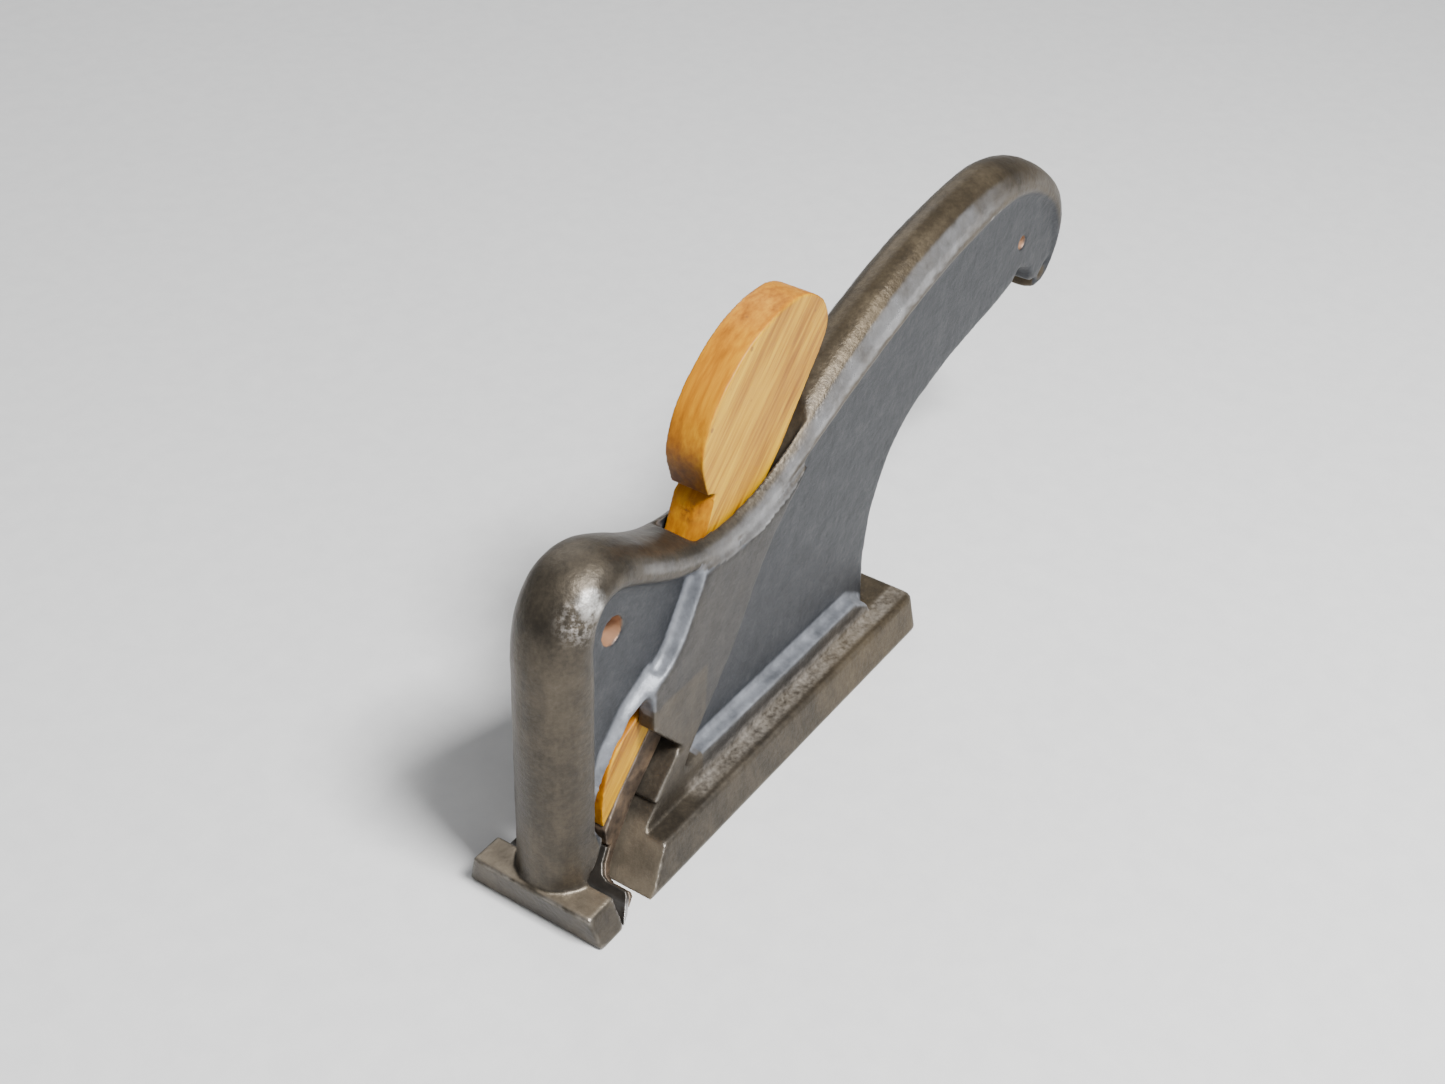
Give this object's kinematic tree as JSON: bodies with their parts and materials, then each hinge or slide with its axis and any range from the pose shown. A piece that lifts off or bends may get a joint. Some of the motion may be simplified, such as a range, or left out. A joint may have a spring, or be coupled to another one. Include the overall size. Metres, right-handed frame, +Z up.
{
  "type": "rabbet plane",
  "caption": "Old metal T-soled rabbet plane for coachmaking: curved tail handle, diagonal T iron and a boxwood wedge with a leaf-shaped finial.",
  "frame": {"origin": "on the plane of the sole, under the middle of the overall length and width", "axes": "+X towards the toe, +Y to the user's left, +Z up from the sole"},
  "size_m": [0.1778, 0.0286, 0.0904],
  "materials": {
    "body": "gunmetal with an old brown-black patina, rubbed golden at the edges",
    "wedge": "waxed boxwood, stained dark at the notch",
    "iron": "dark forged iron",
    "edge_steel": "dark steel with a bright ground edge"
  },
  "bodies": {
    "plane": {"plane_body": "body"},
    "iron": {"iron_shank": "iron", "cutting_steel": "edge_steel"},
    "wedge": {"wedge": "wedge"}
  },
  "joints": [
    {"name": "wedge_slide", "type": "slide", "parent": "plane", "child": "wedge", "axis": [-0.7071, 0, 0.7071], "range_m": [0, 0.045]},
    {"name": "iron_slide", "type": "slide", "parent": "plane", "child": "iron", "axis": [-0.7071, 0, 0.7071], "range_m": [-0.01, 0.003]}
  ]
}
